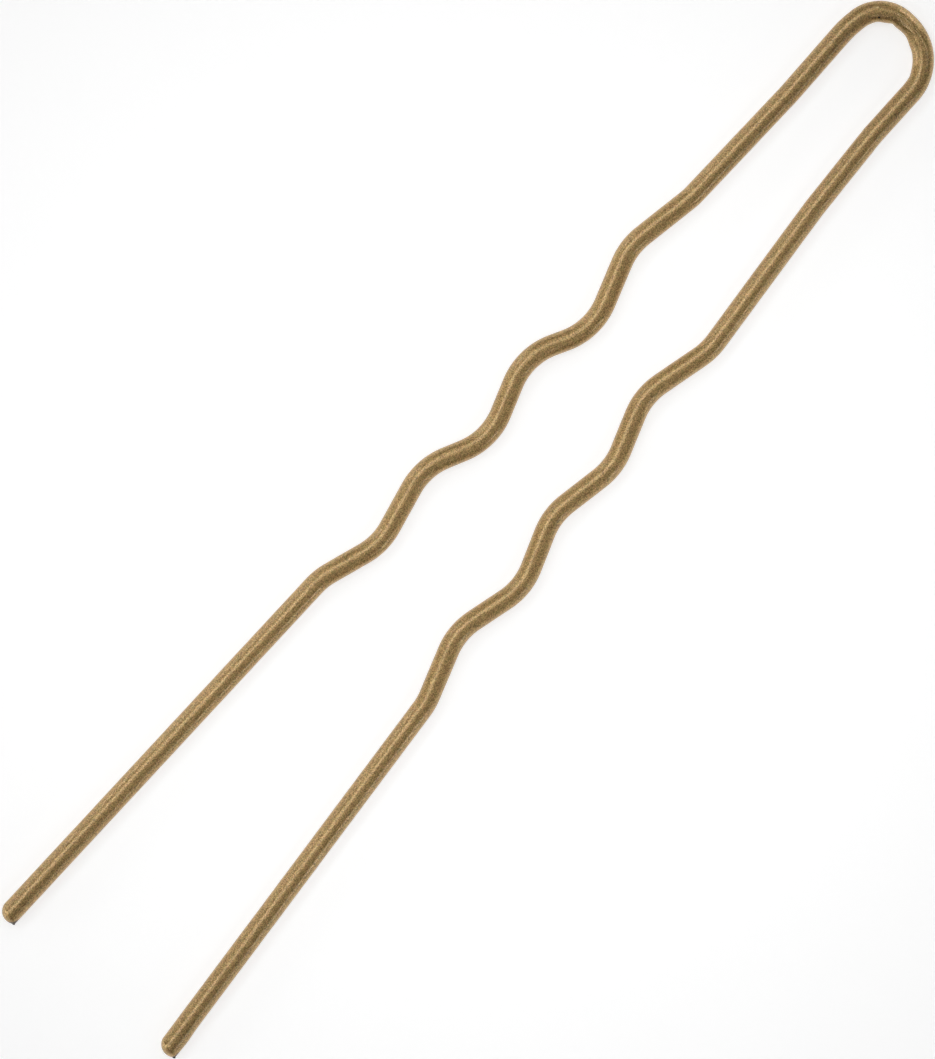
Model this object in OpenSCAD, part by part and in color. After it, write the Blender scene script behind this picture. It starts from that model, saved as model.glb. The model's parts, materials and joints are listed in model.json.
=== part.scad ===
// Waved hairpin: one round steel wire bent into a U, with three waves in each leg, baked in lacquer.
// It lies flat, with X along it towards the bow, Y across it and Z up. All lengths are in millimetres.
// The wire bends where the bow passes into the legs, so each leg starts there, at its flex point.
// A pose is [x, y, heading] on the wire's axis, and a bend is [turn, radius, straight run after it].

/* [Wire] */
// Diameter of the bare steel wire
steel_d = 1.02; // [0.8:0.02:1.3]
// Thickness of the lacquer on the wire
lacquer_t = 0.04; // [0.02:0.01:0.1]
// How much larger than the wire's own radius the rounding of each cut end is
end_over = 0.11; // [0.03:0.01:0.4]

/* [Bow] */
// Straight run from the left flex point to the bow's first bend
bow_lead = 2.3; // [1:0.05:6]
// Slant of the left leg at its flex point, in degrees away from the pin's axis
bow_slant = 3.4; // [0:0.1:8]
// Turn that brings the bow's left side parallel to the axis, in degrees
bow_ease = 2.15; // [0.5:0.05:5]
// Straight run along the bow's left side
bow_run = 3.95; // [1:0.05:8]
// Turn of the shoulder, in degrees
shoulder_turn = 10; // [5:0.5:20]
// Radius of the shoulder
shoulder_r = 5.7; // [2:0.1:9]
// Turn of the nose, the tightest part of the bow, in degrees
nose_turn = 83.5; // [70:0.5:92]
// Radius of the nose
nose_r = 1.85; // [1.2:0.05:2.6]
// Turn of the heel, the rounder part that leads to the right leg, in degrees
heel_turn = 87.4; // [78:0.1:92]
// Radius of the heel
heel_r = 2.52; // [2:0.01:4]
// Short straight run between two of the bow's bends
bow_gap = 0.2; // [0.1:0.05:0.6]
// Straight run after the heel
heel_run = 2.75; // [0.5:0.05:4]
// Turn back after the heel, in degrees
heel_ease = 3.5; // [0.5:0.1:6]

/* [Legs] */
// Distance along the pin from the flex points to the cut ends
leg_reach = 55.3; // [45:0.1:65]
// Distance from one crest of the waves to the next
wave_pitch = 7.65; // [7:0.05:9]
// Radius of every bend in the legs
bend_r = 3.5; // [2:0.1:4]

/* [Left leg] */
// Straight run from the flex point to the leg's first bend
left_lead = 4.8; // [2:0.1:6]
// Distance along the pin from the flex point to the first crest
left_start = 8.75; // [7.5:0.05:11]
// Distance of each trough past the middle between its crests
left_lag = 0.55; // [-0.5:0.05:1]
// Distance of each crest outwards from the flex point
left_crests = [1.1, 1.6, 1.9, 2.25]; // [0.3:0.05:3]
// Distance of each trough outwards from the flex point
left_troughs = [-0.25, 0.2, 1.05]; // [-0.5:0.05:1.5]
// Slant of the straight end, in degrees away from the pin's axis
left_slant = 2.85; // [0:0.05:6]

/* [Right leg] */
// Straight run from the flex point to the leg's first bend
right_lead = 1.2; // [0.5:0.1:5]
// Distance along the pin from the flex point to the first crest
right_start = 10.15; // [8:0.05:12]
// Distance of each trough past the middle between its crests
right_lag = 0.1; // [-0.5:0.05:1]
// Distance of each crest outwards from the flex point
right_crests = [0.6, 0.7, 1.1, 1.1]; // [0.3:0.05:3]
// Distance of each trough outwards from the flex point
right_troughs = [-0.5, -0.15, -0.05]; // [-0.8:0.05:1]
// Slant of the straight end, in degrees away from the pin's axis
right_slant = 3.25; // [0:0.05:6]

/* [Hidden] */
$fn = 40;

steel_r = steel_d / 2;
wire_r = steel_r + lacquer_t;
// The rounding of a cut end is set towards the side where the cut broke through, and on the other
// side it stays outside the wire by this gap
end_gap = 0.01;
end_shift = end_over - end_gap;
end_r = wire_r + end_over;
steel_end_r = end_r - lacquer_t;
// How much fuller a bend is than the straight wire, and how far a straight run reaches into it
bend_swell = 0.002;
bend_entry = 0.03;
steel_colour = "#8e8f8d";
lacquer_colour = "#9e8762";

// A pose moved straight on, the centre of a bend that starts at a pose, and the pose after a bend.
// A positive turn is to the left.
function ahead(pose, run) =
    [pose[0] + run * cos(pose[2]), pose[1] + run * sin(pose[2]), pose[2]];
function to_centre(turn) = turn < 0 ? -90 : 90;
function centre(pose, turn, r) = ahead([pose[0], pose[1], pose[2] + to_centre(turn)], r);
function around(pose, turn, r) =
    let (c = centre(pose, turn, r), rim = ahead([c[0], c[1], pose[2] + turn - to_centre(turn)], r))
    [rim[0], rim[1], pose[2] + turn];
function after(pose, bend) = ahead(around(pose, bend[0], bend[1]), bend[2]);

// The pose at the start of each bend, and the pose after the last one
function poses(start, bends, i = 0) =
    i == len(bends) ? [start] : concat([start], poses(after(start, bends[i]), bends, i + 1));

// Bow: from the left flex point at [0, 0], round the bow, and back to the flex line x = 0
bow_start = [0, 0, -bow_slant];
bow_shape = [
    [0, bend_r, bow_lead],
    [bow_ease, bend_r, bow_run],
    [-shoulder_turn, shoulder_r, bow_gap],
    [-nose_turn, nose_r, bow_gap],
    [-heel_turn, heel_r, heel_run],
];
bow_poses = poses(bow_start, bow_shape);
bow_eased = around(bow_poses[len(bow_shape)], heel_ease, bend_r);
bow_return = -bow_eased[0] / cos(bow_eased[2]);
bow_bends = concat(bow_shape, [[heel_ease, bend_r, bow_return]]);
right_flex = ahead(bow_eased, bow_return);

// Leg: corners of its centre line in its own frame, with the flex point at [0, 0], x towards the
// cut end and y outwards. The last corner is the middle of the end's rounding.
function leg_corners(lead, lead_slant, start, lag, crests, troughs, slant) =
    let (
        waves = len(troughs),
        last = [start + waves * wave_pitch, crests[waves]],
        end_x = leg_reach - end_r
    )
    concat(
        [[0, 0], lead * [cos(lead_slant), sin(lead_slant)]],
        [for (i = [0 : waves - 1], low = [0, 1])
            low == 0
                ? [start + i * wave_pitch, crests[i]]
                : [start + (i + 0.5) * wave_pitch + lag, troughs[i]]],
        [last, [end_x, last[1] + (end_x - last[0]) * tan(slant)]]
    );

// Bends of a line that rounds each corner. A corner takes at most this share of each of its sides,
// so its radius shrinks where they are short and a straight run is always left between two bends.
side_share = 0.45;
function heading(a, b) = atan2(b[1] - a[1], b[0] - a[0]);
function turn_at(c, i) = heading(c[i], c[i + 1]) - heading(c[i - 1], c[i]);
function tangent_at(c, i) =
    i == 0 || i == len(c) - 1
        ? 0
        : min(bend_r * tan(abs(turn_at(c, i)) / 2), side_share * norm(c[i] - c[i - 1]),
            side_share * norm(c[i + 1] - c[i]));
function run_at(c, i) = norm(c[i + 1] - c[i]) - tangent_at(c, i) - tangent_at(c, i + 1);
function rounded(c) = concat(
    [[0, bend_r, run_at(c, 0)]],
    [for (i = [1 : len(c) - 2]) let (turn = turn_at(c, i))
        [turn, turn == 0 ? bend_r : tangent_at(c, i) / tan(abs(turn) / 2), run_at(c, i)]]
);

left_lead_slant = bow_slant;
right_lead_slant = right_flex[2] + 180;
left_corners = leg_corners(left_lead, left_lead_slant, left_start, left_lag,
    left_crests, left_troughs, left_slant);
right_corners = leg_corners(right_lead, right_lead_slant, right_start, right_lag,
    right_crests, right_troughs, right_slant);
left_end = left_corners[len(left_corners) - 1];
right_end = right_corners[len(right_corners) - 1];

// The pin is centred on its overall length and width, and lies on the plane z = 0
function front_of(pose, bend) =
    centre(pose, bend[0], bend[1])[0] - bend[1] * sin(min(max(-90, pose[2] + bend[0]), pose[2]));
bow_front = wire_r + max([for (i = [0 : len(bow_shape) - 1])
    if (bow_shape[i][0] < 0) front_of(bow_poses[i], bow_shape[i])]);
pin_centre = [
    (bow_front - leg_reach) / 2,
    (left_end[1] + right_flex[1] - right_end[1]) / 2,
];

// One straight run of wire of radius r, ahead of a pose
module straight(pose, run, r) {
    translate([pose[0], pose[1], 0])
        rotate([0, 90, pose[2]])
            cylinder(h = run, r = r);
}

// One bend of wire, ahead of a pose
module bend(pose, turn, bend_radius, r) {
    c = centre(pose, turn, bend_radius);
    first_rim = pose[2] - to_centre(turn);
    translate([c[0], c[1], 0])
        rotate([0, 0, min(first_rim, first_rim + turn)])
            rotate_extrude(angle = abs(turn))
                translate([bend_radius, 0]) circle(r = r + bend_swell);
}

// A straight run that ends in a cut. Its rounding is a sphere set to one side of the wire's axis, so
// that side, where the cut broke through, stays blunt and the other is well rounded. blunt_side is
// 1 where the blunt side is to the left of the run, else -1.
module cut_run(pose, run, r, rounding, blunt_side) {
    waste = r + rounding;
    translate([pose[0], pose[1], 0])
        rotate([0, 0, pose[2]])
            difference() {
                rotate([0, 90, 0])
                    cylinder(h = run + rounding, r = r);
                translate([run, 0, 0])
                    difference() {
                        rotate([0, 90, 0])
                            cylinder(h = waste, r = waste);
                        translate([0, blunt_side * end_shift, 0])
                            sphere(r = rounding);
                    }
            }
}

// A whole run of wire of radius r: every bend in turn, each with its straight run. A straight run
// reaches a little way into the bends beside it, so that they join. With a rounding, the last run
// ends in a cut.
module bent_wire(start, bends, r, rounding = 0, blunt_side = 0) {
    at = poses(start, bends);
    last = len(bends) - 1;
    for (i = [0 : last]) {
        turn = bends[i][0];
        before = i == 0 ? 0 : bend_entry;
        after_run = i == last ? 0 : bend_entry;
        run_start = ahead(at[i + 1], -bends[i][2] - before);
        if (turn != 0)
            bend(at[i], turn, bends[i][1], r);
        if (i == last && rounding > 0)
            cut_run(run_start, bends[i][2] + before, r, rounding, blunt_side);
        else
            straight(run_start, bends[i][2] + before + after_run, r);
    }
}

// One leg in its own frame. blunt_side is 1 where the cut's blunt edge faces outwards, else -1.
module leg(corners, blunt_side, r, rounding) {
    bent_wire([0, 0, heading(corners[0], corners[1])], rounded(corners), r, rounding, blunt_side);
}

// From the left flex point's frame to the pin's own
module in_pin() {
    translate([-pin_centre[0], -pin_centre[1], wire_r])
        children();
}

module bow(r) {
    in_pin()
        bent_wire(bow_start, bow_bends, r);
}

module left_leg(r, rounding) {
    in_pin()
        mirror([1, 0, 0])
            leg(left_corners, -1, r, rounding);
}

module right_leg(r, rounding) {
    in_pin()
        translate([right_flex[0], right_flex[1], 0])
            rotate([0, 0, 180])
                leg(right_corners, 1, r, rounding);
}

module bow_wire() {
    color(steel_colour) bow(steel_r);
}

module bow_lacquer() {
    color(lacquer_colour)
        difference() {
            bow(wire_r);
            bow(steel_r);
        }
}

module left_leg_wire() {
    color(steel_colour) left_leg(steel_r, steel_end_r);
}

module left_leg_lacquer() {
    color(lacquer_colour)
        difference() {
            left_leg(wire_r, end_r);
            left_leg(steel_r, steel_end_r);
        }
}

module right_leg_wire() {
    color(steel_colour) right_leg(steel_r, steel_end_r);
}

module right_leg_lacquer() {
    color(lacquer_colour)
        difference() {
            right_leg(wire_r, end_r);
            right_leg(steel_r, steel_end_r);
        }
}

bow_wire();
bow_lacquer();
left_leg_wire();
left_leg_lacquer();
right_leg_wire();
right_leg_lacquer();
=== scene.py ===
"""Waved hairpin: one round spring wire, baked in bronze lacquer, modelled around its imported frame.

The wire runs from the left cut end through the left leg's waves, round the bow and down the right
leg. It flexes where the bow passes into the legs, so its lacquer and its steel core are each three
pieces that meet there. Sizes are in millimetres and places are in the frame's own axes: X along the
pin towards the bow, Y across it and Z up.
"""

import json
import logging
import math
from collections.abc import Iterable
from dataclasses import dataclass, field
from enum import Enum

import bmesh
import bpy
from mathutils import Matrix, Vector
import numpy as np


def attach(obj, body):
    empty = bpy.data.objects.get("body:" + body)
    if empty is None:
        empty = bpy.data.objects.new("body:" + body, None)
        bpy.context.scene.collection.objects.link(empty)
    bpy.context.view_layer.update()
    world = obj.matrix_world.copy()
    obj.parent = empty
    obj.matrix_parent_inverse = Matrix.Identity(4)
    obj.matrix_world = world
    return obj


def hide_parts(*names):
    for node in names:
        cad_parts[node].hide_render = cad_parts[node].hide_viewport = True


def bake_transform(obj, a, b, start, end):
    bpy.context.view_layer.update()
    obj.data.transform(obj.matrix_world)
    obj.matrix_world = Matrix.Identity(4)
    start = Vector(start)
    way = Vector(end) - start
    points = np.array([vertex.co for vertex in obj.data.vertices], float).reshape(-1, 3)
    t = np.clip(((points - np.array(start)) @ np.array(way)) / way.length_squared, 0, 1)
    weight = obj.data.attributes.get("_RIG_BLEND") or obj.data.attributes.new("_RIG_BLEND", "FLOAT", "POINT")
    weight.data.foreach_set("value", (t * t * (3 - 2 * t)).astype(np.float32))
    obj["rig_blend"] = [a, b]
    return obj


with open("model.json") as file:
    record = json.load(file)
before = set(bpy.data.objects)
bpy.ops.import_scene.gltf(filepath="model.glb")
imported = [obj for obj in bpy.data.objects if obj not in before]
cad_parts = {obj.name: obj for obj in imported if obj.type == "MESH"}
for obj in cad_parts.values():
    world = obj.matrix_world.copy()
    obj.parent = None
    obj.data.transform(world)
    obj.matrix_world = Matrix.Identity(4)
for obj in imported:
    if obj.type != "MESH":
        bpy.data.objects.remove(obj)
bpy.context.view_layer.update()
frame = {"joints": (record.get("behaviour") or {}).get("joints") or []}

log = logging.getLogger("hairpin")
MM = 0.001
# Lengths that differ by less than this, in metres, are taken as equal
CLOSE = 1e-7
# Distance between the rings of a tube, in millimetres
RING_PITCH = 0.16
UP = Vector((0.0, 0.0, 1.0))
WHITE = (1.0, 1.0, 1.0)
Colour = tuple[float, float, float]


# The wire's line

@dataclass(frozen=True)
class Bend:
    """One bend of the wire, with the straight run after it. A positive turn is to the left."""

    turn: float
    radius: float
    run: float


@dataclass(frozen=True)
class Pose:
    """A place on the wire's axis, in millimetres, and the heading there, in degrees."""

    x: float
    y: float
    heading: float

    def ahead(self, run: float) -> "Pose":
        """The pose moved straight on.

        Args:
            run: Distance to move, in millimetres.

        Returns:
            The pose there, with the same heading.
        """
        angle = math.radians(self.heading)
        return Pose(self.x + run * math.cos(angle), self.y + run * math.sin(angle), self.heading)

    def centre(self, bend: Bend) -> "Pose":
        """The centre of a bend that starts here.

        Args:
            bend: The bend.

        Returns:
            A pose at its centre, heading away from this one.
        """
        return Pose(self.x, self.y, self.heading + math.copysign(90, bend.turn)).ahead(bend.radius)

    def after(self, bend: Bend) -> "Pose":
        """The pose at the end of a bend's own straight run.

        Args:
            bend: A bend that starts here.

        Returns:
            The pose after the bend and its run.
        """
        middle = self.centre(bend)
        rim = Pose(middle.x, middle.y, middle.heading + 180 + bend.turn).ahead(bend.radius)
        return Pose(rim.x, rim.y, self.heading + bend.turn).ahead(bend.run)

    def point(self) -> Vector:
        """The place on the height of the wire's axis.

        Returns:
            The point, in metres.
        """
        return Vector((self.x * MM, self.y * MM, WIRE_HEIGHT))

    def along(self) -> Vector:
        """The direction of the heading.

        Returns:
            A unit vector.
        """
        angle = math.radians(self.heading)
        return Vector((math.cos(angle), math.sin(angle), 0.0))


@dataclass(frozen=True)
class WireLine:
    """The centre line of one stretch of the wire: where it starts, and its bends in order."""

    start: Pose
    bends: tuple[Bend, ...]

    def end(self) -> Pose:
        """The far end of the line.

        Returns:
            The pose there.
        """
        pose = self.start
        for bend in self.bends:
            pose = pose.after(bend)
        return pose

    def pose_at(self, distance: float) -> Pose:
        """The pose at a distance along the line.

        Args:
            distance: Distance from the start, in millimetres.

        Returns:
            The pose there, on a bend or on a straight run.
        """
        pose = self.start
        for bend in self.bends:
            arc = math.radians(abs(bend.turn)) * bend.radius
            if distance < arc:
                return pose.after(Bend(bend.turn * distance / arc, bend.radius, 0.0))
            if distance < arc + bend.run:
                return pose.after(Bend(bend.turn, bend.radius, distance - arc))
            distance -= arc + bend.run
            pose = pose.after(bend)
        return pose.ahead(distance)


class Side(Enum):
    """A leg of the pin: its name, and the direction of its outer side along Y."""

    LEFT = ("left", 1)
    RIGHT = ("right", -1)

    @property
    def label(self) -> str:
        """The word that the leg's nodes start with."""
        return self.value[0]

    @property
    def outwards(self) -> int:
        """1 where the leg's outer side faces +Y, else -1."""
        return self.value[1]


def flex_point(side: Side) -> Pose:
    """Where a leg starts to flex, from the frame's own joints.

    Args:
        side: The leg.

    Returns:
        The pose at its flex point, in millimetres, heading along the leg's straight axis.
    """
    joint = next(j for j in frame["joints"] if j["name"] == f"{side.label}_flex")
    x, y, _ = joint["pos_m"]
    return Pose(x / MM, y / MM, 180.0)


WIRE_HEIGHT = frame["joints"][0]["pos_m"][2]


@dataclass(frozen=True)
class LegShape:
    """One leg's corners: its lead-in, its waves and its straight end, as the frame has them."""

    lead: float
    lead_slant: float
    start: float
    lag: float
    crests: tuple[float, ...]
    troughs: tuple[float, ...]
    slant: float
    reach: float = 55.3
    pitch: float = 7.65
    bend_radius: float = 3.5
    side_share: float = 0.45

    def corners(self, end_radius: float) -> list[tuple[float, float]]:
        """Corners of the centre line in the leg's own frame.

        Args:
            end_radius: Radius of the rounding on the cut end.

        Returns:
            Corners from the flex point at (0, 0), with x towards the cut end and y outwards. The
            last one is the middle of the end's rounding.
        """
        slant = math.radians(self.lead_slant)
        corners = [(0.0, 0.0), (self.lead * math.cos(slant), self.lead * math.sin(slant))]
        for wave, trough in enumerate(self.troughs):
            crest_x = self.start + wave * self.pitch
            corners.append((crest_x, self.crests[wave]))
            corners.append((crest_x + self.pitch / 2 + self.lag, trough))
        last_x = self.start + len(self.troughs) * self.pitch
        end_x = self.reach - end_radius
        rise = (end_x - last_x) * math.tan(math.radians(self.slant))
        corners.append((last_x, self.crests[-1]))
        corners.append((end_x, self.crests[-1] + rise))
        return corners

    def line(self, side: Side, end_radius: float) -> WireLine:
        """The leg's centre line, with each corner rounded.

        Args:
            side: The leg.
            end_radius: Radius of the rounding on the cut end.

        Returns:
            The line from the flex point to the middle of the end's rounding.
        """
        corners = [Vector(corner) for corner in self.corners(end_radius)]
        sides = [after - before for before, after in zip(corners, corners[1:])]
        headings = [math.degrees(math.atan2(s.y, s.x)) for s in sides]
        turns = [after - before for before, after in zip(headings, headings[1:])]
        tangents = [0.0]
        for turn, before, after in zip(turns, sides, sides[1:]):
            shortest = self.side_share * min(before.length, after.length)
            wanted = self.bend_radius * math.tan(math.radians(abs(turn)) / 2)
            tangents.append(min(wanted, shortest))
        tangents.append(0.0)
        runs = [s.length - a - b for s, a, b in zip(sides, tangents, tangents[1:])]
        flip = -side.outwards
        bends = [Bend(0.0, self.bend_radius, runs[0])]
        for turn, tangent, run in zip(turns, tangents[1:], runs[1:]):
            radius = tangent / math.tan(math.radians(abs(turn)) / 2)
            bends.append(Bend(flip * turn, radius, run))
        flex = flex_point(side)
        return WireLine(Pose(flex.x, flex.y, flex.heading + flip * headings[0]), tuple(bends))


@dataclass(frozen=True)
class BowShape:
    """The bow's bends from the left flex point to the right one, as the frame has them."""

    slant: float = 3.4
    lead: float = 2.3
    ease_radius: float = 3.5
    ease: float = 2.15
    side_run: float = 3.95
    shoulder: tuple[float, float] = (10.0, 5.7)
    nose: tuple[float, float] = (83.5, 1.85)
    heel: tuple[float, float] = (87.4, 2.52)
    gap: float = 0.2
    heel_run: float = 2.75
    heel_ease: float = 3.5

    def line(self) -> WireLine:
        """The bow's centre line, whose last run ends level with the two flex points.

        Returns:
            The line from the left flex point to the right one.
        """
        flex = flex_point(Side.LEFT)
        start = Pose(flex.x, flex.y, -self.slant)
        bends = [
            Bend(0.0, self.ease_radius, self.lead),
            Bend(self.ease, self.ease_radius, self.side_run),
            Bend(-self.shoulder[0], self.shoulder[1], self.gap),
            Bend(-self.nose[0], self.nose[1], self.gap),
            Bend(-self.heel[0], self.heel[1], self.heel_run),
            Bend(self.heel_ease, self.ease_radius, 0.0),
        ]
        eased = WireLine(start, tuple(bends)).end()
        back = (flex.x - eased.x) / math.cos(math.radians(eased.heading))
        bends[-1] = Bend(self.heel_ease, self.ease_radius, back)
        return WireLine(start, tuple(bends))


# Modelling with the edit tools

@dataclass(frozen=True)
class Cut:
    """The rounding of a cut end: a sphere set towards the side where the cut broke through."""

    radius: float
    shift: float
    blunt: Vector = field(default_factory=lambda: Vector((0.0, -1.0, 0.0)))

    def across(self, along: Vector) -> Vector:
        """The direction from the wire's axis to the cut's blunt side.

        Args:
            along: The wire's direction at the cut.

        Returns:
            A unit vector square to the wire.
        """
        return (self.blunt - along * self.blunt.dot(along)).normalized()


@dataclass(frozen=True)
class Mark:
    """A small mark on the lacquer, placed by the wire's own measures.

    The distance is along the stretch's line, and the roll is the angle round the wire from its top,
    in degrees, positive to the left of the way. Lengths are in millimetres. A negative depth stands
    out. The last number says how far the lacquer turns near black there: for a dark speck, for a
    patch by a cut end's burr, and as painted shade in a pit.
    """

    distance: float
    roll: float
    length: float
    width: float
    depth: float
    bare: float = 0.0


@dataclass
class TubeForm:
    """A round tube that is extruded along the wire's line with the edit tools."""

    name: str
    radius: float
    vertices: int = 48
    ring_pitch: float = RING_PITCH
    dome_rings: tuple[float, ...] = (0.95, 0.86, 0.74, 0.6, 0.44, 0.28, 0.12)
    edge_bevel: float = 0.025
    bevel_segments: int = 3
    burr_reach: float = 0.2
    burr_lean: tuple[float, float] = (0.6, 0.8)
    burr_taper: float = 0.6
    piece: bpy.types.Object | None = None

    def begin(self, pose: Pose) -> None:
        """Adds the first ring across the wire.

        Args:
            pose: The start of the line.
        """
        bpy.ops.object.select_all(action="DESELECT")
        bpy.ops.mesh.primitive_circle_add(
            vertices=self.vertices, radius=self.radius * MM, fill_type="NOTHING",
            location=pose.point(), rotation=(0.0, math.pi / 2, math.radians(pose.heading)),
        )
        self.piece = bpy.context.active_object
        self.piece.name = self.name
        self.piece.data.name = self.name
        bpy.ops.object.transform_apply(location=True, rotation=True, scale=True)
        bpy.ops.object.mode_set(mode="EDIT")
        bpy.ops.mesh.select_mode(type="EDGE")
        bpy.ops.mesh.select_all(action="SELECT")

    def run(self, pose: Pose, length: float) -> None:
        """Extrudes a straight run.

        Args:
            pose: Where it starts.
            length: Its length in millimetres.
        """
        step = pose.along() * length * MM
        bpy.ops.mesh.extrude_region_move(TRANSFORM_OT_translate={"value": step})

    def turn(self, pose: Pose, bend: Bend) -> None:
        """Spins the last ring round a bend.

        Args:
            pose: Where it starts.
            bend: The bend.
        """
        angle = math.radians(bend.turn)
        steps = max(2, math.ceil(abs(angle) * (bend.radius + self.radius) / self.ring_pitch))
        bpy.ops.mesh.spin(steps=steps, angle=-angle, center=pose.centre(bend).point(), axis=UP)

    def follow(self, line: WireLine) -> Pose:
        """Extrudes the whole tube along a line.

        Args:
            line: The wire's line.

        Returns:
            The pose at its end, where the last ring is left selected.
        """
        self.begin(line.start)
        pose = line.start
        for bend in line.bends:
            if bend.turn:
                self.turn(pose, bend)
            pose = pose.after(bend)
            self.run(pose.ahead(-bend.run), bend.run)
        return pose

    def close_cut(self, pose: Pose, cut: Cut) -> None:
        """Closes the far end with the rounding of a cut.

        Args:
            pose: The middle of the end's rounding.
            cut: The rounding.
        """
        along = pose.along()
        across = cut.across(along)
        middle = pose.point() + across * cut.shift * MM

        def settle() -> None:
            """Moves the selected ring along the wire until it lies on the rounding."""
            mesh = bmesh.from_edit_mesh(self.piece.data)
            for vertex in (v for v in mesh.verts if v.select):
                offset = vertex.co - middle
                beside = offset - along * offset.dot(along)
                rise = math.sqrt(max(0.0, (cut.radius * MM) ** 2 - beside.length_squared))
                vertex.co = middle + beside + along * rise
            bmesh.update_edit_mesh(self.piece.data)

        bpy.ops.mesh.extrude_region_move(TRANSFORM_OT_translate={"value": along * MM})
        settle()
        self.keep_as("cut_edge")
        previous = 1.0
        for share in self.dome_rings:
            bpy.ops.mesh.extrude_region_move(TRANSFORM_OT_translate={"value": (0, 0, 0)})
            self.shrink_to(middle, share / previous)
            settle()
            previous = share
        bpy.ops.mesh.edge_face_add()
        bpy.ops.mesh.poke()
        self.round_edge("cut_edge")

    def raise_burr(self, pose: Pose, cut: Cut, height: float) -> None:
        """Draws the burr out of the blunt edge, where the shear broke through.

        It leans onwards and to the blunt side by burr_lean, and narrows by burr_taper.

        Args:
            pose: The middle of the end's rounding.
            cut: The rounding.
            height: How far the burr stands out.
        """
        along = pose.along()
        across = cut.across(along)
        beside = self.radius - cut.shift
        rise = math.sqrt(cut.radius ** 2 - beside ** 2)
        corner = pose.point() + (across * self.radius + along * rise) * MM
        bpy.ops.mesh.select_all(action="DESELECT")
        bpy.ops.mesh.select_mode(type="FACE")
        mesh = bmesh.from_edit_mesh(self.piece.data)
        for face in mesh.faces:
            face.select_set((face.calc_center_median() - corner).length < self.burr_reach * MM)
        bmesh.update_edit_mesh(self.piece.data)
        onwards, aside = self.burr_lean
        out = (along * onwards + across * aside) * height * MM
        bpy.ops.mesh.extrude_region_move(TRANSFORM_OT_translate={"value": out})
        self.shrink_to(corner + out, self.burr_taper)
        bpy.ops.mesh.select_mode(type="EDGE")

    def shrink_to(self, middle: Vector, share: float) -> None:
        """Scales what is selected about a point.

        Args:
            middle: The point.
            share: The scale.
        """
        bpy.ops.transform.resize(value=(share, share, share), center_override=middle)

    def keep_as(self, group: str) -> None:
        """Keeps the selected vertices in a vertex group.

        Args:
            group: The group's name.
        """
        made = self.piece.vertex_groups.new(name=group)
        self.piece.vertex_groups.active_index = made.index
        bpy.ops.object.vertex_group_assign()

    def round_edge(self, group: str) -> None:
        """Bevels the edge loop kept in a vertex group.

        Args:
            group: The group's name.
        """
        bpy.ops.mesh.select_all(action="DESELECT")
        self.piece.vertex_groups.active_index = self.piece.vertex_groups[group].index
        bpy.ops.object.vertex_group_select()
        bpy.ops.mesh.bevel(
            offset=self.edge_bevel * MM, offset_type="OFFSET", segments=self.bevel_segments,
            affect="EDGES", clamp_overlap=True,
        )

    def close_flat(self) -> None:
        """Closes the selected ring with one flat face."""
        bpy.ops.mesh.edge_face_add()

    def cut_rings(self, line: WireLine) -> None:
        """Cuts each long straight run into rings.

        Args:
            line: The line that the tube follows.
        """
        for bend in line.bends:
            cuts = round(bend.run / self.ring_pitch) - 1
            if cuts < 1:
                continue
            bpy.ops.mesh.select_all(action="DESELECT")
            mesh = bmesh.from_edit_mesh(self.piece.data)
            for edge in mesh.edges:
                if abs(edge.calc_length() - bend.run * MM) < CLOSE:
                    edge.select_set(True)
            bmesh.update_edit_mesh(self.piece.data)
            bpy.ops.mesh.subdivide(number_cuts=cuts)

    def finish(self) -> bpy.types.Object:
        """Merges doubles, turns the faces outwards and leaves edit mode.

        Returns:
            The piece.
        """
        bpy.ops.mesh.select_all(action="SELECT")
        bpy.ops.mesh.remove_doubles(threshold=CLOSE)
        bpy.ops.mesh.normals_make_consistent(inside=False)
        bpy.ops.object.mode_set(mode="OBJECT")
        return self.piece


def apply_modifier(piece: bpy.types.Object, kind: str, **settings: object) -> None:
    """Adds a modifier to a piece and applies it.

    Args:
        piece: The piece.
        kind: The modifier's type.
        settings: Its settings.
    """
    modifier = piece.modifiers.new(kind.title(), kind)
    for name, value in settings.items():
        setattr(modifier, name, value)
    bpy.ops.object.select_all(action="DESELECT")
    bpy.context.view_layer.objects.active = piece
    piece.select_set(True)
    bpy.ops.object.modifier_apply(modifier=modifier.name)


def smooth(piece: bpy.types.Object, angle: float = 32.0) -> None:
    """Shades a piece smooth, apart from its sharp edges.

    Args:
        piece: The piece.
        angle: The sharpest angle that is shaded smooth, in degrees.
    """
    bpy.ops.object.select_all(action="DESELECT")
    bpy.context.view_layer.objects.active = piece
    piece.select_set(True)
    bpy.ops.object.shade_smooth_by_angle(angle=math.radians(angle))


# Finishes

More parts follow.
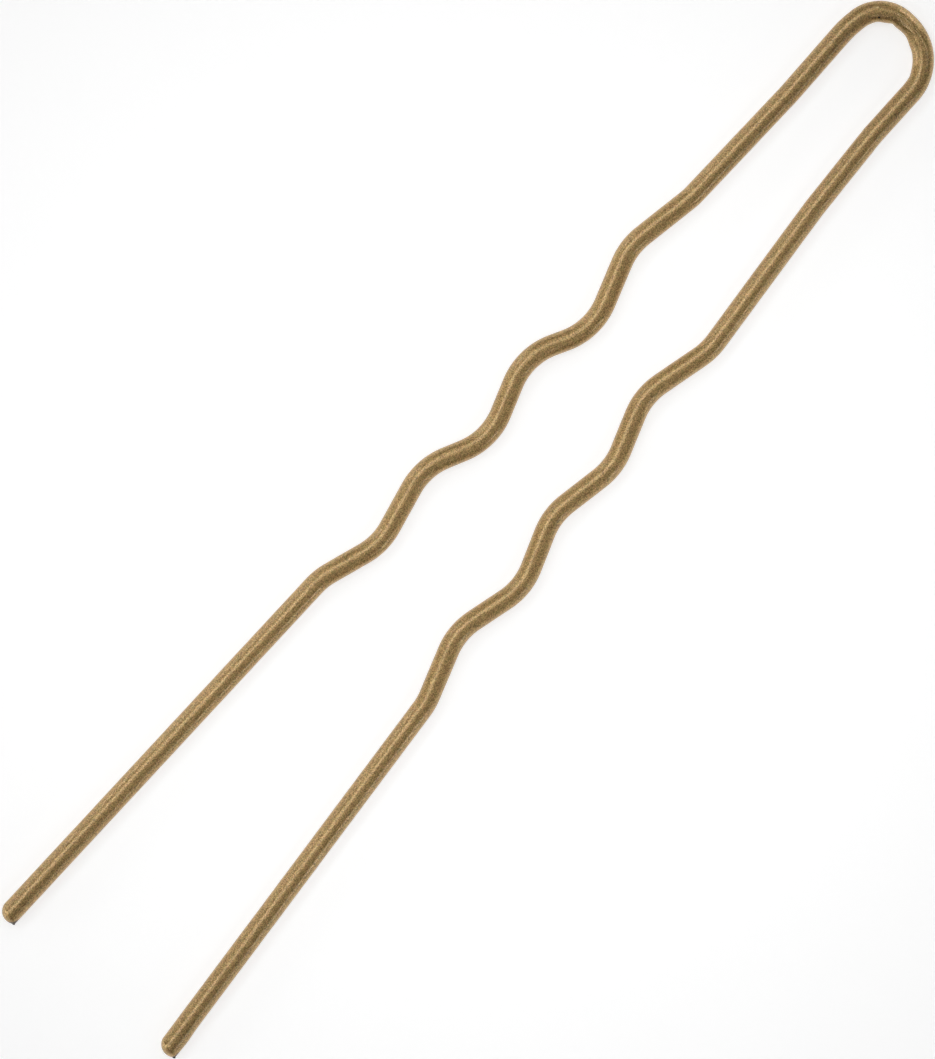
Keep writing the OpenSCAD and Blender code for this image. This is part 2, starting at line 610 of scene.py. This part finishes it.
@dataclass(frozen=True)
class BakedLacquer:
    """Bronze metallic lacquer, sprayed and baked: fine flake under a soft gloss.

    Flakes and specks run from deep over warm to pale, and wide tints drift over them from green to
    red. Sizes are in millimetres, and a span is where a change starts and ends on its pattern.
    """

    deep: Colour = (0.17, 0.11, 0.038)
    warm: Colour = (0.47, 0.30, 0.11)
    pale: Colour = (0.95, 0.67, 0.31)
    green: Colour = (0.39, 0.345, 0.105)
    red: Colour = (0.58, 0.275, 0.13)
    edge: Colour = (0.87, 0.75, 0.58)
    metallic: float = 0.9
    roughness: tuple[float, float] = (0.38, 0.54)
    coat: float = 0.8
    coat_roughness: float = 0.28
    flake_size: float = 0.042
    flake_share: float = 0.3
    flake_tilt: float = 0.18
    speck_size: float = 0.062
    speck_share: float = 1.3
    tint_size: float = 0.22
    tint_span: tuple[float, float] = (0.35, 0.65)
    tint_share: float = 0.22
    pebble_size: float = 0.20
    pebble_height: float = 0.0001
    # Where and how far marks turn the lacquer near black: dark specks, a patch by each cut end's burr, and
    # painted shade in pits
    bare_span: tuple[float, float] = (0.25, 0.45)
    bare_shade: Colour = (0.05, 0.045, 0.04)

    def material(self) -> bpy.types.Material:
        """Makes the material.

        Returns:
            A material whose flakes, tints and pebbled skin lie on the piece's own coordinates, and
            which turns near black where the piece's marks say so: at dark specks, at a patch by each cut
            end's burr, and as painted shade in pits.
        """
        nodes = NodeSheet("bronze_lacquer")
        place = nodes.add("ShaderNodeTexCoord").outputs["Object"]
        flake = nodes.add("ShaderNodeTexVoronoi", Scale=1 / (self.flake_size * MM))
        speck = nodes.add("ShaderNodeTexVoronoi", Scale=1 / (self.speck_size * MM))
        tint = nodes.add("ShaderNodeTexNoise", Scale=1 / (self.tint_size * MM), Detail=2.0)
        pebble = nodes.add("ShaderNodeTexNoise", Scale=1 / (self.pebble_size * MM), Detail=2.0)
        for texture in (flake, speck, tint, pebble):
            nodes.join(place, texture.inputs["Vector"])
        split = nodes.add("ShaderNodeSeparateColor")
        nodes.join(flake.outputs["Color"], split.inputs["Color"])
        spread = nodes.remap(
            split.outputs["Red"], 0.5 - self.flake_share / 2, 0.5 + self.flake_share / 2)
        dip = nodes.remap(speck.outputs["Distance"], self.speck_share / 2, -self.speck_share / 2)
        tone = nodes.ramp(nodes.combine("ADD", spread, dip), (
            (0.0, self.deep), (0.5, self.warm), (1.0, self.pale)))
        drift = nodes.ramp(tint.outputs["Fac"], zip(self.tint_span, (self.green, self.red)))
        colour = nodes.mix("MIX", self.tint_share, tone, drift)
        # Marks turn the lacquer near black here: dark specks, a patch by each cut end's burr, and painted
        # shade in pits
        attribute = nodes.add("ShaderNodeAttribute")
        attribute.attribute_name = "bare"
        steel = nodes.ramp(
            attribute.outputs["Fac"], zip(self.bare_span, (WHITE, self.bare_shade)))
        shader = nodes.shader
        nodes.join(nodes.mix("MULTIPLY", 1.0, colour, steel), shader.inputs["Base Color"])
        shader.inputs["Metallic"].default_value = self.metallic
        shader.inputs["Specular Tint"].default_value = (*self.edge, 1.0)
        rough = nodes.remap(split.outputs["Green"], *self.roughness)
        nodes.join(rough, shader.inputs["Roughness"])
        shader.inputs["Coat Weight"].default_value = self.coat
        shader.inputs["Coat Roughness"].default_value = self.coat_roughness
        bump = nodes.add("ShaderNodeBump", Strength=1.0, Distance=self.pebble_height * MM)
        nodes.join(pebble.outputs["Fac"], bump.inputs["Height"])
        tilt = nodes.vector("SCALE", nodes.vector(
            "SUBTRACT", flake.outputs["Color"], (0.5, 0.5, 0.5)), self.flake_tilt)
        facet = nodes.vector("NORMALIZE", nodes.vector("ADD", bump.outputs["Normal"], tilt))
        nodes.join(facet, shader.inputs["Normal"])
        nodes.join(bump.outputs["Normal"], shader.inputs["Coat Normal"])
        return nodes.material


@dataclass(frozen=True)
class BareSteel:
    """Bare spring steel: drawn lines, in near-black tones."""

    dark: Colour = (0.02, 0.018, 0.015)
    bright: Colour = (0.09, 0.08, 0.065)
    edge: Colour = (0.25, 0.22, 0.18)
    roughness: tuple[float, float] = (0.35, 0.55)
    grain_size: float = 0.05
    grain_span: tuple[float, float] = (0.35, 0.7)

    def material(self) -> bpy.types.Material:
        """Makes the material.

        Returns:
            A material whose grain lies on the piece's own coordinates.
        """
        nodes = NodeSheet("bare_steel")
        place = nodes.add("ShaderNodeTexCoord").outputs["Object"]
        grain = nodes.add("ShaderNodeTexNoise", Scale=1 / (self.grain_size * MM), Detail=3.0)
        nodes.join(place, grain.inputs["Vector"])
        colour = nodes.ramp(grain.outputs["Fac"], zip(self.grain_span, (self.dark, self.bright)))
        nodes.join(colour, nodes.shader.inputs["Base Color"])
        nodes.shader.inputs["Metallic"].default_value = 1.0
        nodes.shader.inputs["Specular Tint"].default_value = (*self.edge, 1.0)
        rough = nodes.remap(grain.outputs["Fac"], *self.roughness)
        nodes.join(rough, nodes.shader.inputs["Roughness"])
        return nodes.material


class NodeSheet:
    """A new material's nodes, with short ways to add and join them."""

    def __init__(self, name: str) -> None:
        """Makes the material with its shader.

        Args:
            name: The material's name.
        """
        self.material = bpy.data.materials.new(name)
        self.material.use_nodes = True
        self.tree = self.material.node_tree
        self.shader = self.tree.nodes["Principled BSDF"]

    def add(self, kind: str, **values: float) -> bpy.types.Node:
        """Adds a node.

        Args:
            kind: The node's type.
            values: Numbers for its inputs, by name.

        Returns:
            The node.
        """
        node = self.tree.nodes.new(kind)
        for name, value in values.items():
            node.inputs[name].default_value = value
        return node

    def join(self, output: bpy.types.NodeSocket, socket: bpy.types.NodeSocket) -> None:
        """Links an output to an input.

        Args:
            output: The output.
            socket: The input.
        """
        self.tree.links.new(output, socket)

    def ramp(
        self, value: bpy.types.NodeSocket, stops: Iterable[tuple[float, Colour]]
    ) -> bpy.types.NodeSocket:
        """Colours a value with a ramp.

        Args:
            value: The value.
            stops: Places on the ramp, each with its linear colour.

        Returns:
            The colour.
        """
        node = self.add("ShaderNodeValToRGB")
        elements = node.color_ramp.elements
        stops = tuple(stops)
        while len(elements) < len(stops):
            elements.new(0.5)
        for element, (place, colour) in zip(elements, stops):
            element.position = place
            element.color = (*colour, 1.0)
        self.join(value, node.inputs["Fac"])
        return node.outputs["Color"]

    def remap(self, value: bpy.types.NodeSocket, low: float, high: float) -> bpy.types.NodeSocket:
        """Maps a value from 0 to 1 onto a range.

        Args:
            value: The value.
            low: What 0 becomes.
            high: What 1 becomes.

        Returns:
            The mapped value.
        """
        node = self.add("ShaderNodeMapRange", **{"To Min": low, "To Max": high})
        self.join(value, node.inputs["Value"])
        return node.outputs["Result"]

    def combine(
        self, operation: str, one: bpy.types.NodeSocket, other: bpy.types.NodeSocket | float
    ) -> bpy.types.NodeSocket:
        """Combines two values.

        Args:
            operation: The operation's name.
            one: The first value.
            other: The second value, as an output or a number.

        Returns:
            The result.
        """
        node = self.add("ShaderNodeMath")
        node.operation = operation
        self.join(one, node.inputs[0])
        if isinstance(other, bpy.types.NodeSocket):
            self.join(other, node.inputs[1])
        else:
            node.inputs[1].default_value = other
        return node.outputs[0]

    def mix(
        self, kind: str, share: float, one: bpy.types.NodeSocket, other: bpy.types.NodeSocket
    ) -> bpy.types.NodeSocket:
        """Mixes or multiplies two colours.

        Args:
            kind: The way of blending.
            share: How much of the other there is.
            one: The first colour.
            other: The second colour.

        Returns:
            The blended colour.
        """
        node = self.add("ShaderNodeMix")
        node.data_type = "RGBA"
        node.blend_type = kind
        node.inputs["Factor"].default_value = share
        by_name = {socket.identifier: socket for socket in (*node.inputs, *node.outputs)}
        self.join(one, by_name["A_Color"])
        self.join(other, by_name["B_Color"])
        return by_name["Result_Color"]

    def vector(
        self, operation: str, one: bpy.types.NodeSocket,
        other: bpy.types.NodeSocket | tuple[float, float, float] | float | None = None,
    ) -> bpy.types.NodeSocket:
        """Works on vectors.

        Args:
            operation: The operation's name.
            one: The vector.
            other: What it is combined with: a second vector, its numbers, or the scale.

        Returns:
            The result.
        """
        node = self.add("ShaderNodeVectorMath")
        node.operation = operation
        self.join(one, node.inputs[0])
        if isinstance(other, bpy.types.NodeSocket):
            self.join(other, node.inputs[1])
        elif isinstance(other, tuple):
            node.inputs[1].default_value = other
        elif other is not None:
            node.inputs["Scale"].default_value = other
        return node.outputs["Vector"]


# The pin

@dataclass
class Wire:
    """What every stretch of the pin shares: its gauge, its lacquer and its finishes.

    The wall wanders in and out by about wander, but not within seam_rest of a flex point. The steel
    is core_slack thinner than the lacquer's bore. All are in millimetres.
    """

    steel_radius: float = 0.51
    lacquer: float = 0.04
    end_over: float = 0.11
    end_gap: float = 0.01
    core_slack: float = 0.0005
    core_vertices: int = 32
    wander: float = 0.008
    wander_size: float = 1.1
    seam_rest: float = 0.8

    def __post_init__(self) -> None:
        """Makes the finishes once, for every stretch."""
        self.bronze = BakedLacquer().material()
        self.steel = BareSteel().material()
        self.pattern = bpy.data.textures.new("wander", "CLOUDS")
        self.pattern.noise_scale = self.wander_size * MM
        self.pattern.noise_depth = 1

    @property
    def radius(self) -> float:
        """The lacquered wire's radius."""
        return self.steel_radius + self.lacquer

    @property
    def end_radius(self) -> float:
        """The radius of a cut end's rounding, over the lacquer."""
        return self.radius + self.end_over

    def cut(self, depth: float = 0.0) -> Cut:
        """The rounding of a cut end.

        Args:
            depth: How far it lies under the lacquer's surface.

        Returns:
            The rounding.
        """
        return Cut(self.end_radius - depth, self.end_over - self.end_gap)

    def wander_wall(self, piece: bpy.types.Object, seams: list[Vector]) -> None:
        """Lets the wall wander a little, as drawn wire does, apart from the stretch at its seams.

        Args:
            piece: The skin's wall.
            seams: The flex points at its open ends.
        """
        group = piece.vertex_groups.new(name="free_wall")
        for vertex in piece.data.vertices:
            near = min((vertex.co - seam).length for seam in seams) - self.radius * MM
            share = min(max(near / (self.seam_rest * MM), 0.0), 1.0)
            group.add([vertex.index], share * share * (3 - 2 * share), "REPLACE")
        apply_modifier(
            piece, "DISPLACE", texture=self.pattern, texture_coords="LOCAL",
            strength=self.wander * MM, vertex_group=group.name,
        )

    def press(self, piece: bpy.types.Object, line: WireLine, mark: Mark) -> None:
        """Presses a mark into a wall, or raises it, and darkens the lacquer there towards near black, as
        painted shade where the mark is a pit.

        Args:
            piece: The lacquer's wall or the steel.
            line: The stretch's line.
            mark: The mark.
        """
        bare = piece.data.attributes.get("bare") or piece.data.attributes.new(
            "bare", "FLOAT", "POINT")
        pose = line.pose_at(mark.distance)
        roll = math.radians(mark.roll)
        along = pose.along()
        out = UP * math.cos(roll) + UP.cross(along) * math.sin(roll)
        spot = pose.point() + out * self.radius * MM
        reach = 2 * max(mark.length, mark.width) * MM
        # Each mark's near-black darkening, which is painted shade where the mark is a pit
        for vertex, dark_mark_and_shade_value in zip(piece.data.vertices, bare.data):
            offset = vertex.co - spot
            if offset.length < reach:
                ahead = offset.dot(along)
                beside = (offset - along * ahead).length
                far = Vector((2 * ahead / mark.length, 2 * beside / mark.width)) / MM
                fade = math.exp(-far.length_squared)
                vertex.co -= out * mark.depth * MM * fade
                dark_mark_and_shade_value.value = max(dark_mark_and_shade_value.value, mark.bare * fade)

    def skin(
        self, name: str, line: WireLine, cut: Cut | None, seams: list[Vector],
        marks: tuple[Mark, ...] = (), pitch: float = RING_PITCH,
    ) -> bpy.types.Object:
        """Models the lacquer over one stretch of the wire.

        Args:
            name: The piece's name.
            line: The stretch's line.
            cut: The rounding of its far end, or None where that end is open.
            seams: The flex points at its open ends.
            marks: The marks on it.
            pitch: Distance between its rings, in millimetres.

        Returns:
            The piece, a closed shell as thick as the lacquer.
        """
        form = TubeForm(name, self.radius, ring_pitch=pitch)
        pose = form.follow(line)
        if cut:
            form.close_cut(pose, cut)
        form.cut_rings(line)
        piece = form.finish()
        self.wander_wall(piece, seams)
        for mark in marks:
            self.press(piece, line, mark)
        apply_modifier(
            piece, "SOLIDIFY", thickness=self.lacquer * MM, offset=-1.0, use_even_offset=True)
        smooth(piece)
        piece.data.materials.append(self.bronze)
        return piece

    def core(
        self, name: str, line: WireLine, cut: Cut | None,
        marks: tuple[Mark, ...] = (), burr: float = 0.0,
    ) -> bpy.types.Object:
        """Models the steel inside one stretch of the wire.

        Args:
            name: The piece's name.
            line: The stretch's line.
            cut: The rounding of its far end, or None where that end is flat.
            marks: The marks on it, which are as deep as in the lacquer.
            burr: How far the burr on the cut's blunt edge stands out of the steel.

        Returns:
            The piece, a closed solid.
        """
        form = TubeForm(name, self.steel_radius - self.core_slack, self.core_vertices)
        pose = form.follow(line)
        if cut:
            form.close_cut(pose, cut)
        else:
            form.close_flat()
        form.cut_rings(line)
        if burr:
            form.raise_burr(pose, cut, burr)
        bpy.ops.mesh.select_all(action="DESELECT")
        bpy.ops.mesh.select_non_manifold()
        form.close_flat()
        piece = form.finish()
        for mark in marks:
            self.press(piece, line, mark)
        smooth(piece)
        piece.data.materials.append(self.steel)
        return piece


@dataclass
class Bow:
    """The bow of the pin, from flex point to flex point, with the marks of its bending tool."""

    wire: Wire
    shape: BowShape = field(default_factory=BowShape)
    pitch: float = 0.08
    marks: tuple[Mark, ...] = (
        # Dents and the humps between them, along the inner side
        Mark(8.58, -90.0, 0.5, 0.9, 0.02),
        Mark(9.1, -90.0, 0.45, 0.7, -0.012),
        Mark(9.68, -90.0, 0.3, 1.1, 0.06),
        Mark(10.7, -90.0, 0.75, 1.1, 0.045),
        Mark(11.5, -90.0, 0.45, 0.7, -0.022),
        Mark(13.55, -90.0, 0.45, 0.9, 0.028),
        # Flat on the outer side
        Mark(10.3, 90.0, 2.4, 0.9, 0.014),
        # Crease that climbs from the deepest dent: its ridge, then its groove
        Mark(9.78, -58.0, 0.4, 0.2, -0.014),
        Mark(10.08, -42.0, 0.45, 0.2, -0.014),
        Mark(10.42, -30.0, 0.5, 0.2, -0.01),
        Mark(9.9, -32.0, 0.5, 0.2, 0.012),
        Mark(10.3, -16.0, 0.55, 0.2, 0.012),
        # Scratch
        Mark(9.98, 48.0, 0.6, 0.16, 0.01),
        # Pit, pressed in and darkened near black as painted shade, and three burnt specks on the outer side
        Mark(8.76, -36.0, 0.14, 0.14, 0.02, 0.9),
        Mark(8.76, 73.0, 0.14, 0.14, -0.012, 0.7),
        Mark(8.32, 73.0, 0.14, 0.14, -0.01, 0.6),
        Mark(9.78, 67.0, 0.14, 0.14, -0.012, 0.7),
    )

    def build(self) -> list[bpy.types.Object]:
        """Models the bow's lacquer and core.

        Returns:
            The two pieces.
        """
        line = self.shape.line()
        seams = [line.start.point(), line.end().point()]
        skin = self.wire.skin("bow_skin", line, None, seams, self.marks, self.pitch)
        core = self.wire.core("bow_core", line, None, self.marks)
        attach(skin, "bow")
        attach(core, "bow")
        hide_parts("bow_lacquer")
        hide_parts("bow_wire")
        return [skin, core]


@dataclass
class Leg:
    """One leg of the pin, from its flex point to its cut end.

    The leg bends over its first flex_length. The burr's height is over the steel, in millimetres.
    """

    wire: Wire
    side: Side
    shape: LegShape
    burr: float
    marks: tuple[Mark, ...]
    flex_length: float = 12.0

    def build(self) -> list[bpy.types.Object]:
        """Models the leg's lacquer and core.

        Returns:
            The two pieces.
        """
        label = self.side.label
        line = self.shape.line(self.side, self.wire.end_radius)
        seams = [line.start.point()]
        skin = self.wire.skin(f"{label}_leg_skin", line, self.wire.cut(), seams, self.marks)
        bared = self.wire.cut(self.wire.lacquer + self.wire.core_slack)
        core = self.wire.core(f"{label}_leg_core", line, bared, self.marks, self.burr)
        start = line.start.point()
        end = line.start.ahead(self.flex_length).point()
        for piece in (skin, core):
            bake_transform(piece, "bow", f"{label}_leg", start=start, end=end)
        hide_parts(f"{label}_leg_lacquer")
        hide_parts(f"{label}_leg_wire")
        return [skin, core]


def legs(wire: Wire) -> list[Leg]:
    """The two legs, each with its own waves, burr and marks.

    Args:
        wire: What they share with the bow.

    Returns:
        The left leg and the right leg.
    """
    left = Leg(
        wire, Side.LEFT,
        LegShape(
            lead=4.8, lead_slant=3.4, start=8.75, lag=0.55,
            crests=(1.1, 1.6, 1.9, 2.25), troughs=(-0.25, 0.2, 1.05), slant=2.85,
        ),
        burr=0.09,
        marks=(
            # Nick, pressed in and darkened near black as painted shade
            Mark(49.7, 78.0, 0.12, 0.12, 0.03, 0.9),
            # Near-black patch at the cut end's blunt corner, beside the burr
            Mark(56.25, 90.0, 0.6, 0.75, 0.0, 1.0),
        ),
    )
    right = Leg(
        wire, Side.RIGHT,
        LegShape(
            lead=1.2, lead_slant=1.35, start=10.15, lag=0.1,
            crests=(0.6, 0.7, 1.1, 1.1), troughs=(-0.5, -0.15, -0.05), slant=3.25,
        ),
        burr=0.1,
        # A raised bump near the end, then a near-black patch at the cut end's blunt corner, beside the burr
        marks=(Mark(54.9, 90.0, 1.2, 0.8, -0.035), Mark(55.86, 76.0, 0.22, 0.3, 0.0, 1.0)),
    )
    return [left, right]


# The studio

@dataclass(frozen=True)
class SoftLamp:
    """A square softbox that points at the pin.

    The tilt is its angle from straight above and the bearing is its direction from +X towards +Y,
    in degrees. The power is in watts.
    """

    name: str
    tilt: float
    bearing: float
    power: float


@dataclass
class Studio:
    """The table, the lights and the camera.

    The pool is a ring of narrow spots that brightens the waves. They stand steep along the pin and
    lean lower across it.
    """

    table_size: float = 1.2
    table_grey: float = 0.5
    table_roughness: float = 0.9
    table_glow: float = 0.7
    camera_height: float = 1.5
    sensor_width: float = 36.0
    clip: tuple[float, float] = (0.01, 10.0)
    view_width: float = 53.797
    view_centre: tuple[float, float] = (-2.1667, 0.0204)
    roll: float = 50.0
    room_light: float = 0.02
    lamp_size: float = 0.36
    lamp_distance: float = 0.8
    lamps: tuple[SoftLamp, ...] = (
        SoftLamp("key", 24.0, 90.0, 1.14),
        SoftLamp("low_key", 80.0, 90.0, 0.16),
        SoftLamp("back", 80.0, 135.0, 1.4),
        SoftLamp("side", 78.0, 0.0, 1.15),
        SoftLamp("fill", 25.0, -90.0, 0.08),
    )
    pool_spots: int = 8
    pool_power: float = 0.68
    pool_cone: float = 12.0
    pool_tilt: float = 25.0
    pool_lean: float = 45.0
    pool_distance: float = 0.25
    pool_softness: float = 0.035

    def floor(self) -> None:
        """Lays the pale table under the pin."""
        bpy.ops.object.select_all(action="DESELECT")
        bpy.ops.mesh.primitive_plane_add(size=self.table_size)
        table = bpy.context.active_object
        table.name = "table"
        sheet = NodeSheet("white_table")
        sheet.shader.inputs["Base Color"].default_value = (*[self.table_grey] * 3, 1.0)
        sheet.shader.inputs["Roughness"].default_value = self.table_roughness
        path = sheet.add("ShaderNodeLightPath")
        seen = path.outputs["Is Camera Ray"]
        for ray in ("Is Glossy Ray", "Is Transmission Ray"):
            seen = sheet.combine("MAXIMUM", seen, path.outputs[ray])
        glow = sheet.combine("MULTIPLY", seen, self.table_glow)
        sheet.shader.inputs["Emission Color"].default_value = (*WHITE, 1.0)
        sheet.join(glow, sheet.shader.inputs["Emission Strength"])
        table.data.materials.append(sheet.material)

    def lights(self) -> None:
        """Hangs the softboxes and the ring of spots, and sets the even light of the room."""
        world = bpy.data.worlds.new("room")
        world.use_nodes = True
        room = world.node_tree.nodes["Background"]
        room.inputs["Color"].default_value = (*WHITE, 1.0)
        room.inputs["Strength"].default_value = self.room_light
        bpy.context.scene.world = world
        for lamp in self.lamps:
            light = bpy.data.lights.new(lamp.name, "AREA")
            light.shape = "SQUARE"
            light.size = self.lamp_size
            light.energy = lamp.power
            self.hang(light, lamp.tilt, lamp.bearing, self.lamp_distance)
        for spot in range(self.pool_spots):
            light = bpy.data.lights.new(f"pool_{spot}", "SPOT")
            light.energy = self.pool_power
            light.spot_size = math.radians(self.pool_cone)
            light.spot_blend = 1.0
            light.shadow_soft_size = self.pool_softness
            bearing = spot * 360 / self.pool_spots
            tilt = self.pool_tilt + self.pool_lean * math.sin(math.radians(bearing)) ** 2
            self.hang(light, tilt, bearing, self.pool_distance)

    def hang(self, light: bpy.types.Light, tilt: float, bearing: float, distance: float) -> None:
        """Hangs a light that points at the middle of the pin.

        Args:
            light: The light.
            tilt: Its angle from straight above, in degrees.
            bearing: The direction that it stands in, in degrees from +X towards +Y.
            distance: Its distance, in metres.
        """
        lamp = bpy.data.objects.new(light.name, light)
        bpy.context.scene.collection.objects.link(lamp)
        angle, turn = math.radians(tilt), math.radians(bearing)
        away = Vector((
            math.sin(angle) * math.cos(turn), math.sin(angle) * math.sin(turn), math.cos(angle)))
        lamp.location = away * distance + Vector((self.view_centre[0] * MM, 0.0, 0.0))
        lamp.rotation_euler = away.to_track_quat("Z", "Y").to_euler()

    def camera(self) -> None:
        """Sets the camera straight above the pin, rolled as in the photograph."""
        data = bpy.data.cameras.new("camera")
        data.type = "PERSP"
        data.sensor_width = self.sensor_width
        data.lens = data.sensor_width * self.camera_height / (self.view_width * MM)
        data.clip_start, data.clip_end = self.clip
        camera = bpy.data.objects.new("camera", data)
        bpy.context.scene.collection.objects.link(camera)
        camera.location = (
            self.view_centre[0] * MM, self.view_centre[1] * MM, WIRE_HEIGHT + self.camera_height)
        camera.rotation_euler = (0.0, 0.0, math.radians(-self.roll))
        bpy.context.scene.camera = camera

    def build(self) -> None:
        """Sets up the whole studio."""
        self.floor()
        self.lights()
        self.camera()
        bpy.context.scene.view_settings.view_transform = "Standard"


def main() -> None:
    """Builds the studio and the pin."""
    logging.basicConfig(level=logging.INFO, format="%(name)s: %(message)s")
    Studio().build()
    wire = Wire()
    for part in (Bow(wire), *legs(wire)):
        for piece in part.build():
            log.info("%s: %d faces", piece.name, len(piece.data.polygons))


if __name__ == "__main__":
    main()
